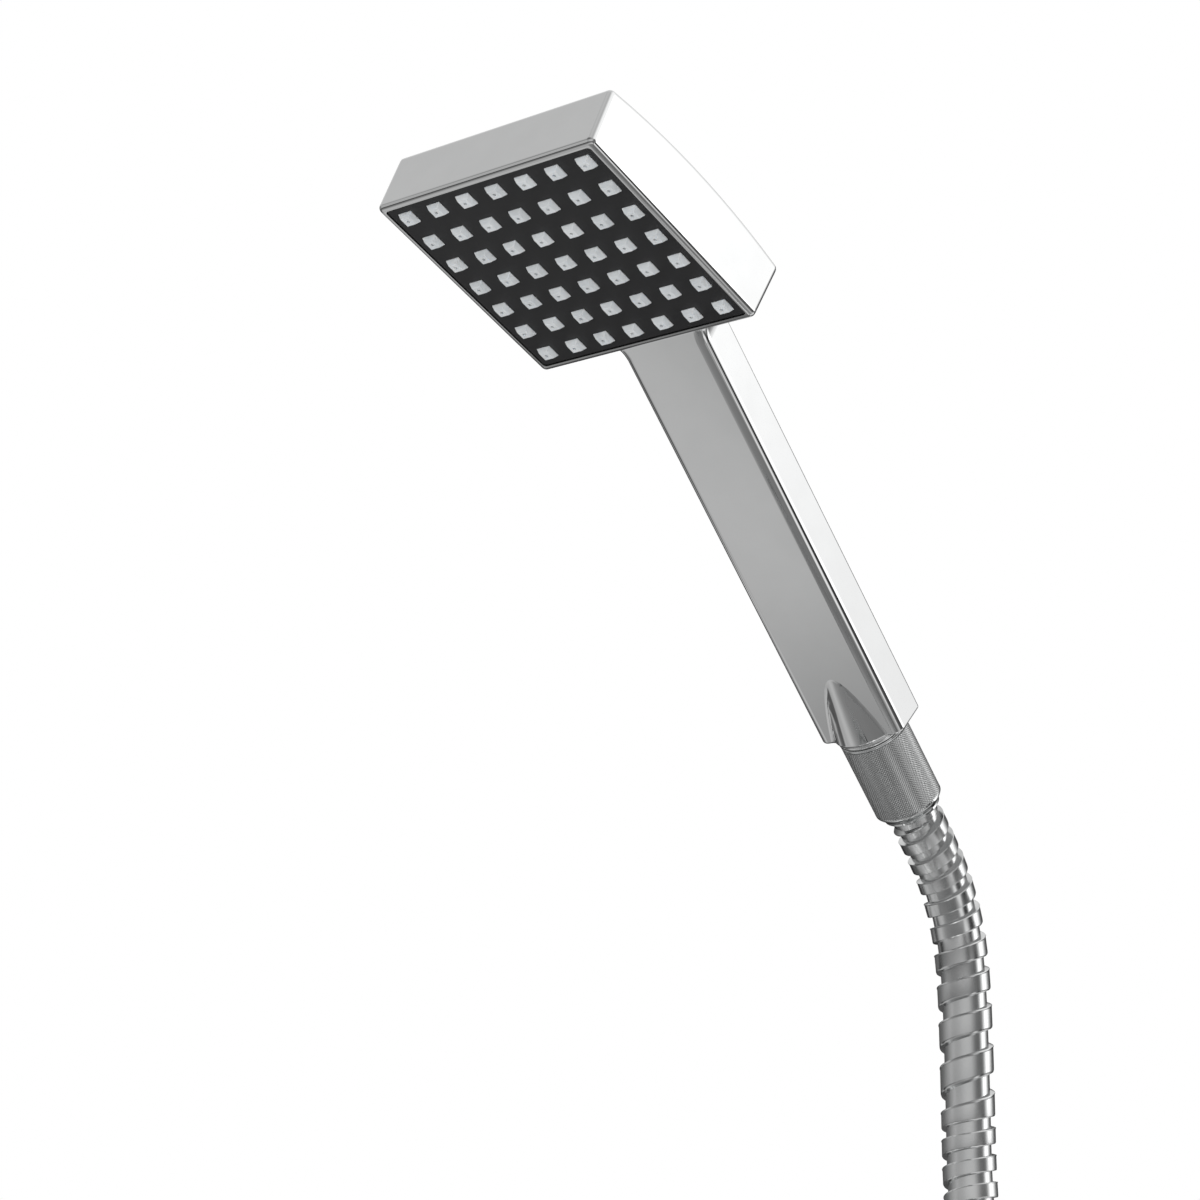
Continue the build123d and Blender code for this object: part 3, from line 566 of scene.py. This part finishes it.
def strip_faces(rows):
    """Faces between the rows of the strip, and between the edges of each turn and the next."""
    columns = len(STRIP_OUTLINE)
    row_at = {round(turn * FINE_STEPS): row for row, turn in enumerate(rows)}
    faces = []
    for row in range(len(rows) - 1):
        here, after = row * columns, (row + 1) * columns
        for column in range(columns - 1):
            faces.append((here + column, here + column + 1, after + column + 1, after + column))
    for row in range(len(rows) - 1):
        next_row = row_at.get(round((rows[row] + 1) * FINE_STEPS))
        if next_row is None or next_row + 1 >= len(rows):
            continue
        last = row_at[round((rows[next_row + 1] - 1) * FINE_STEPS)]
        edge = [i * columns + columns - 1 for i in range(last, row - 1, -1)]
        faces.append((next_row * columns, (next_row + 1) * columns, *edge))
    return faces


def spiral_hose():
    """A steel strip wound along the hose's route, and the points of that route."""
    route = smooth_line("hose_route", hose_route())
    line = Line(route, Vector((1, 0, 0)))
    turns = 1
    while hose_at(turns) < line.long:
        turns += 1
    rows = strip_rows(turns)
    points = []
    for turn in rows:
        angle = 2 * math.pi * turn
        for share, depth in STRIP_OUTLINE:
            points.append(strip_point(line, turn + share, angle, depth))
    hose = new_piece("spiral_hose", points, [], strip_faces(rows))
    bpy.ops.object.mode_set(mode="EDIT")
    bpy.ops.mesh.select_all(action="SELECT")
    bpy.ops.mesh.remove_doubles(threshold=STRIP_MERGE)
    bpy.ops.mesh.dissolve_degenerate(threshold=STRIP_MERGE)
    close_holes()
    bpy.ops.object.mode_set(mode="OBJECT")
    smooth_below(24)
    finish_with(hose, "handset", hose_steel)
    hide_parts("hose_drop", "hose_coil", "hose_tail")
    return hose, route


# Knurled nut
def reach(node, place, way):
    """Lowest and highest level of a node along a line, and its widest and narrowest radii about it."""
    levels = []
    radii = []
    for vertex in nodes[node].data.vertices:
        out = vertex.co - place
        level = out.dot(way)
        levels.append(level)
        radii.append((out - way * level).length)
    return min(levels), max(levels), max(radii), min(radii)


def turned(name, outline, steps):
    """A ring turned about Z from its closed outline of levels and radii."""
    points = [(radius, 0, level) for level, radius in outline]
    edges = [(i, (i + 1) % len(points)) for i in range(len(points))]
    piece = new_piece(name, points, edges, [])
    bpy.ops.object.mode_set(mode="EDIT")
    bpy.ops.mesh.select_all(action="SELECT")
    bpy.ops.mesh.spin(steps=steps, angle=2 * math.pi, center=(0, 0, 0), axis=(0, 0, 1))
    bpy.ops.mesh.select_all(action="SELECT")
    bpy.ops.mesh.remove_doubles(threshold=TURNED_MERGE)
    bpy.ops.mesh.normals_make_consistent(inside=False)
    bpy.ops.object.mode_set(mode="OBJECT")
    return piece


def bead_outline(top, nut_r):
    """The round of the bead, from the nut's top down to the knurl."""
    outline = []
    for i in range(1, BEAD_STEPS):
        turn = math.pi * i / BEAD_STEPS
        level = top + NUT_BEAD_R * (1 - math.cos(turn))
        outline.append((level, nut_r - NUT_BEAD_R * (1 - math.sin(turn))))
    return outline


def foot_outline(end, nut_r):
    """The slope under the knurl, and the ring at the nut's end."""
    slope = [(end - high, nut_r - deep) for high, deep in FOOT_SLOPE]
    fillet_high, fillet_out = FOOT_FILLET
    ring = [
        (end - fillet_high, FOOT_RING_R + fillet_out),
        (end - FOOT_RING_HIGH, FOOT_RING_R),
        (end - FOOT_RING_EDGE, FOOT_RING_R),
        (end, FOOT_RING_R - FOOT_RING_EDGE),
    ]
    return slope + ring


def knurl(nut, nut_r, knurl_top, row_high, knurl_rows):
    """Sinks every second point of the barrel, and marks the barrel for the finish and its grooves for
    painted shade.
    """
    unselect_mesh(nut)
    # The groove mark carries painted shade: its points turn darker grey in the finish
    groove = nut.data.attributes.new("groove", "FLOAT", "POINT")
    barrel = nut.data.attributes.new("barrel", "FLOAT", "POINT")
    for vertex in nut.data.vertices:
        row = (vertex.co.z - knurl_top) / row_high
        column = math.atan2(vertex.co.y, vertex.co.x) / math.pi * KNURL_DIAMONDS
        in_rows = -ROW_SLACK < row < knurl_rows + ROW_SLACK
        on_barrel = vertex.co.xy.length > nut_r - BARREL_SLACK and in_rows
        vertex.select = on_barrel and (round(row) + round(column)) % 2 == 1
        groove.data[vertex.index].value = float(vertex.select)
        barrel.data[vertex.index].value = float(on_barrel)
    bpy.ops.object.mode_set(mode="EDIT")
    bpy.ops.mesh.select_mode(type="VERT")
    sunk = 1 - KNURL_DEEP / nut_r
    bpy.ops.transform.resize(value=(sunk, sunk, 1), center_override=(0, 0, 0))
    bpy.ops.mesh.select_all(action="SELECT")
    bpy.ops.mesh.quads_convert_to_tris(quad_method="SHORTEST_DIAGONAL")
    bpy.ops.object.mode_set(mode="OBJECT")


def knurled_nut():
    top, end, nut_r, lip_r = reach("hose_nut", HANDLE_END, HANDLE_WAY)
    lip_top, lip_end = LIP_LEVELS
    row_high = math.pi * nut_r / KNURL_DIAMONDS
    knurl_top = top + 2 * NUT_BEAD_R + KNURL_GAP
    knurl_rows = int((end - KNURL_FOOT - knurl_top) / row_high)
    outline = [(top, THREAD_R), (top, nut_r - NUT_BEAD_R)]
    outline += bead_outline(top, nut_r)
    outline += [(knurl_top + i * row_high, nut_r) for i in range(knurl_rows + 1)]
    outline += foot_outline(end, nut_r)
    outline += [
        (end, SKIRT_R),
        (lip_end, SKIRT_R),
        (lip_end, lip_r),
        (lip_top, lip_r),
        (lip_top, THREAD_R),
    ]
    nut = turned("knurled_nut", outline, 2 * KNURL_DIAMONDS)
    knurl(nut, nut_r, knurl_top, row_high, knurl_rows)
    smooth_below(15)
    set_along(nut, HANDLE_END, HANDLE_WAY)
    finish_with(nut, "hose_nut", nut_chrome)
    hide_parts("hose_nut")


# Spring of the check valve
def check_spring():
    """A wire coil that the valve's poppet presses against the spider."""
    low, high, *_ = reach("valve_spring", HANDLE_END, HANDLE_WAY)
    rise = high - low - 2 * SPRING_WIRE_R
    bpy.ops.object.select_all(action="DESELECT")
    bpy.ops.mesh.primitive_circle_add(
        vertices=WIRE_SIDES,
        radius=SPRING_WIRE_R,
        location=(SPRING_R, 0, 0),
        rotation=(math.pi / 2, 0, 0),
    )
    spring = bpy.context.object
    spring.name = "check_spring"
    bpy.ops.object.transform_apply(location=True, rotation=True, scale=True)
    bpy.ops.object.modifier_add(type="SCREW")
    coil = spring.modifiers["Screw"]
    coil.screw_offset = rise / SPRING_TURNS
    coil.iterations = SPRING_TURNS
    coil.steps = SPRING_STEPS
    coil.render_steps = SPRING_STEPS
    bpy.ops.object.modifier_apply(modifier="Screw")
    bpy.ops.object.mode_set(mode="EDIT")
    close_holes()
    bpy.ops.object.mode_set(mode="OBJECT")
    smooth_below(50)
    set_along(spring, HANDLE_END + HANDLE_WAY * (low + SPRING_WIRE_R), HANDLE_WAY)
    finish_with(spring, "handset", steel)
    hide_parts("valve_spring")
    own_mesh(spring)


# Strap
def coil_strap():
    """A flat strap drawn round the two strands of the coil."""
    inner = HOSE_THICK / 2 + STRAP_GAP
    middle = COIL_R - COIL_STEP * ((COIL_ANGLE - STRAP_ANGLE) / 360 + 0.5)
    bpy.ops.mesh.primitive_cylinder_add(
        vertices=STRAP_SIDES, radius=inner, depth=STRAP_WIDE, end_fill_type="NOTHING"
    )
    strap = bpy.context.object
    strap.name = "coil_strap"
    pick(strap)
    unselect_mesh(strap)
    for side in (-1, 1):
        for vertex in strap.data.vertices:
            vertex.select = vertex.co.x * side > MIDDLE_SLACK
        bpy.ops.object.mode_set(mode="EDIT")
        bpy.ops.mesh.select_mode(type="VERT")
        bpy.ops.transform.translate(value=(side * COIL_STEP / 2, 0, 0))
        bpy.ops.object.mode_set(mode="OBJECT")
    bpy.ops.object.modifier_add(type="SOLIDIFY")
    strap.modifiers["Solidify"].thickness = STRAP_THICK
    strap.modifiers["Solidify"].offset = 1.0
    bpy.ops.object.modifier_apply(modifier="Solidify")
    bpy.ops.object.modifier_add(type="BEVEL")
    strap.modifiers["Bevel"].width = STRAP_EDGE
    strap.modifiers["Bevel"].segments = 2
    bpy.ops.object.modifier_apply(modifier="Bevel")
    smooth_below(40)
    outwards = coil_place(1, STRAP_ANGLE, 0) - COIL_CENTRE
    strap.rotation_euler = (math.pi / 2, 0, math.atan2(outwards.y, outwards.x))
    strap.location = coil_place(middle, STRAP_ANGLE, 0)
    bpy.ops.object.transform_apply(location=True, rotation=True, scale=True)
    finish_with(strap, "handset", strap_weave)
    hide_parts("coil_tie")
    return strap


# Studio
FLOOR_WIDE = 8.0
REACH_BLEND = 0.08         # width over which the near floor passes into the far one
UPPER_ROOM = (0.36, 0.52)  # levels between which the walls pass into the upper room
OVERHEAD = (0.8, 0.97)     # and that into the grey overhead
OVERHEAD_GREY = 0.6
ROOM_LIGHT = 0.7           # light of the room on what isn't metal
TWICE_MIRRORED = 0.27      # grey of what one metal shows of another's reflection
MORE_THAN_ONCE = 1.5       # between one reflection and two

# Greys of the floor as metal shows it, at degrees to the right of the camera, near the object
NEAR_FLOOR = [
    (-180, 0.1),
    (-150, 0.08),
    (-138, 0.1),
    (-128, 0.45),
    (-118, 0.52),
    (-107, 0.41),
    (-93, 0.51),
    (-87, 0.49),
    (-80, 0.4),
    (-70, 0.3),
    (-58, 0.25),
    (-40, 0.225),
    (14, 0.19),
    (30, 0.16),
    (47, 0.46),
    (62, 0.42),
    (74, 0.6),
    (110, 0.9),
    (128, 0.3),
    (144, 0.08),
    (180, 0.1),
]
# The same, farther out
FAR_FLOOR = [
    (-180, 0.06),
    (-151, 0.1),
    (-144, 0.85),
    (-135, 0.9),
    (-129, 0.2),
    (-124, 0.1),
    (-115, 0.1),
    (-106, 0.38),
    (-92, 0.5),
    (-80, 0.42),
    (-40, 0.44),
    (-16, 0.54),
    (2, 0.64),
    (14, 0.6),
    (24, 0.34),
    (32, 0.3),
    (39, 0.85),
    (52, 0.9),
    (59, 0.12),
    (72, 0.1),
    (84, 0.6),
    (110, 0.9),
    (128, 0.3),
    (144, 0.08),
    (180, 0.06),
]
# Distance out to which the near floor reaches, at degrees to the right of the camera
NEAR_REACH = [
    (-180, 0.7),
    (-138, 0.7),
    (-128, 0.45),
    (-100, 0.42),
    (20, 0.42),
    (36, 0.33),
    (60, 0.33),
    (100, 0.5),
    (180, 0.7),
]
# Strength of the floor's greys at a distance from the origin
FLOOR_OUT = [
    (0.0, 1.9),
    (0.08, 1.84),
    (0.105, 1.2),
    (0.12, 0.96),
    (0.17, 0.74),
    (0.2, 0.82),
    (0.24, 0.95),
    (0.28, 1.0),
    (0.64, 1.0),
    (0.82, 0.48),
    (1.05, 0.48),
    (1.3, 0.2),
    (2.0, 0.2),
]
# Greys of the walls as metal shows them, at degrees to the right of the camera
WALLS = [
    (-180, 0.08),
    (-150, 0.12),
    (-125, 0.18),
    (-100, 0.36),
    (-78, 0.5),
    (-63, 0.42),
    (-41, 0.46),
    (-20, 0.57),
    (0, 0.6),
    (14, 0.56),
    (24, 0.42),
    (40, 0.18),
    (56, 0.15),
    (67, 0.2),
    (79, 1.0),
    (87, 1.8),
    (97, 1.8),
    (103, 1.16),
    (108.5, 1.16),
    (115, 0.6),
    (125, 0.24),
    (140, 0.08),
    (180, 0.06),
]
# Strength of the walls' greys at a level
WALL_RISE = [(0.0, 0.95), (0.12, 0.92), (0.19, 0.82), (0.4, 1.06), (1.0, 1.06)]
# Greys of the upper room, at degrees to the right of the camera
CEILING = [
    (-180, 0.75),
    (-150, 0.7),
    (-128, 0.54),
    (-106, 0.55),
    (-96, 0.4),
    (-84, 0.26),
    (-66, 0.14),
    (-30, 0.14),
    (0, 0.3),
    (24, 0.4),
    (60, 1.05),
    (115, 1.05),
    (136, 0.75),
    (180, 0.75),
]


def ramp_of(tree, value, stops):
    """Greys along a value that goes from the first stop to the last."""
    low, high = stops[0][0], stops[-1][0]
    share = tree.nodes.new("ShaderNodeMapRange")
    share.inputs["From Min"].default_value = low
    share.inputs["From Max"].default_value = high
    tree.links.new(value, share.inputs["Value"])
    ramp = tree.nodes.new("ShaderNodeValToRGB")
    greys = ramp.color_ramp.elements
    for place, level in stops[1:-1]:
        greys.new((place - low) / (high - low)).color = (level, level, level, 1)
    for stop, level in ((greys[0], stops[0][1]), (greys[-1], stops[-1][1])):
        stop.color = (level, level, level, 1)
    tree.links.new(share.outputs["Result"], ramp.inputs["Fac"])
    return ramp.outputs["Color"]


def rise_of(tree, value, low, high):
    """Goes from 0 to 1 as the value goes from low to high."""
    rise = tree.nodes.new("ShaderNodeMapRange")
    rise.interpolation_type = "SMOOTHSTEP"
    rise.inputs["From Min"].default_value = low
    rise.inputs["From Max"].default_value = high
    tree.links.new(value, rise.inputs["Value"])
    return rise.outputs["Result"]


def mirror_ray(tree):
    """The kind of ray, and 1 for what is seen in metal or through glass, otherwise 0."""
    rays = tree.nodes.new("ShaderNodeLightPath").outputs
    return rays, outcome(tree, "MAXIMUM", rays["Is Glossy Ray"], rays["Is Transmission Ray"])


def right_of_camera(tree, place):
    """Degrees to the right of the camera at which a place or a direction lies, and its level."""
    towards_camera = math.atan2(-CAMERA_WAY.y, -CAMERA_WAY.x)
    turned_room = tree.nodes.new("ShaderNodeMapping")
    turned_room.vector_type = "VECTOR"
    turned_room.inputs["Rotation"].default_value = (0, 0, -towards_camera)
    tree.links.new(place, turned_room.inputs["Vector"])
    split = tree.nodes.new("ShaderNodeSeparateXYZ")
    tree.links.new(turned_room.outputs["Vector"], split.inputs["Vector"])
    angle = outcome(tree, "ARCTAN2", split.outputs["Y"], split.outputs["X"])
    return outcome(tree, "DEGREES", angle), split.outputs["Z"]


def floor():
    """Pale to the camera, with the object's shadow. Metal sees its own greys of the floor."""
    bpy.ops.mesh.primitive_plane_add(size=FLOOR_WIDE, location=(0, 0, cad_box[0].z))
    ground = bpy.context.object
    ground.name = "studio_floor"
    material, tree, shader, place = blank_material("studio_floor")
    clouds = noise(tree, place, 2.0)
    pale = tint(tree, clouds, (0.8, 0.8, 0.8), (0.82, 0.82, 0.82))
    tree.links.new(pale, shader.inputs["Base Color"])
    shader.inputs["Roughness"].default_value = 0.9
    shader.inputs["Specular IOR Level"].default_value = 0.1
    degrees, _ = right_of_camera(tree, place)
    length = tree.nodes.new("ShaderNodeVectorMath")
    length.operation = "LENGTH"
    tree.links.new(place, length.inputs[0])
    outwards = length.outputs["Value"]
    beyond = outcome(tree, "SUBTRACT", outwards, ramp_of(tree, degrees, NEAR_REACH))
    near = ramp_of(tree, degrees, NEAR_FLOOR)
    far = ramp_of(tree, degrees, FAR_FLOOR)
    mirrored = tree.nodes.new("ShaderNodeEmission")
    greys = mix_of(tree, rise_of(tree, beyond, 0.0, REACH_BLEND), near, far)
    tree.links.new(greys, mirrored.inputs["Color"])
    tree.links.new(ramp_of(tree, outwards, FLOOR_OUT), mirrored.inputs["Strength"])
    _, seen = mirror_ray(tree)
    both = shader_mix(tree, seen, shader.outputs["BSDF"], mirrored.outputs["Emission"])
    tree.links.new(both, tree.nodes["Material Output"].inputs["Surface"])
    ground.data.materials.append(material)


def room_greys(tree):
    """Greys of the room in the direction that metal shows: walls, upper room and overhead."""
    direction = tree.nodes.new("ShaderNodeTexCoord").outputs["Generated"]
    degrees, level = right_of_camera(tree, direction)
    walls = tree.nodes.new("ShaderNodeVectorMath")
    walls.operation = "MULTIPLY"
    tree.links.new(ramp_of(tree, degrees, WALLS), walls.inputs[0])
    tree.links.new(ramp_of(tree, level, WALL_RISE), walls.inputs[1])
    overhead = plain(tree, (OVERHEAD_GREY, OVERHEAD_GREY, OVERHEAD_GREY))
    ceiling = ramp_of(tree, degrees, CEILING)
    upper = mix_of(tree, rise_of(tree, level, *OVERHEAD), ceiling, overhead)
    return mix_of(tree, rise_of(tree, level, *UPPER_ROOM), walls.outputs["Vector"], upper)


def background(tree):
    node = tree.nodes.new("ShaderNodeBackground")
    node.inputs["Color"].default_value = (1, 1, 1, 1)
    return node


def studio_world():
    """White to the camera. Metal sees a grey room with a bright wall at the right."""
    world = bpy.data.worlds.new("studio")
    bpy.context.scene.world = world
    world.use_nodes = True
    tree = world.node_tree
    tree.nodes.clear()
    rays, seen = mirror_ray(tree)
    twice = outcome(tree, "GREATER_THAN", rays["Glossy Depth"], MORE_THAN_ONCE)
    dim = plain(tree, (TWICE_MIRRORED, TWICE_MIRRORED, TWICE_MIRRORED))
    mirrored = background(tree)
    tree.links.new(mix_of(tree, twice, room_greys(tree), dim), mirrored.inputs["Color"])
    soft = background(tree)
    soft.inputs["Strength"].default_value = ROOM_LIGHT
    backdrop = background(tree).outputs["Background"]
    light = shader_mix(tree, seen, soft.outputs["Background"], mirrored.outputs["Background"])
    output = tree.nodes.new("ShaderNodeOutputWorld")
    shown = shader_mix(tree, rays["Is Camera Ray"], light, backdrop)
    tree.links.new(shown, output.inputs["Surface"])


def lamp(name, place, aim, size, power, cone):
    """A square lamp that metal doesn't show. Its light spreads over a cone of these degrees."""
    bpy.ops.object.light_add(type="AREA", location=place)
    light = bpy.context.object
    light.name = name
    light.data.size = size
    light.data.energy = power
    light.data.spread = math.radians(cone)
    light.rotation_mode = "QUATERNION"
    light.rotation_quaternion = (Vector(aim) - Vector(place)).to_track_quat("-Z", "Y")
    light.visible_camera = False
    light.visible_glossy = False


def lamps():
    lamp("key_lamp", place=(1.1, -0.5, 0.9), aim=(0, 0, 0), size=0.8, power=9.0, cone=180)
    lamp("low_lamp", place=(0.25, -0.75, -0.05), aim=(0, -0.17, 0.1), size=0.4, power=0.3, cone=80)


def build():
    camera()
    dress_nodes()
    hose, route = spiral_hose()
    strap = coil_strap()
    knurled_nut()
    check_spring()
    floor()
    studio_world()
    lamps()
    bpy.context.scene.view_settings.view_transform = "Standard"


build()
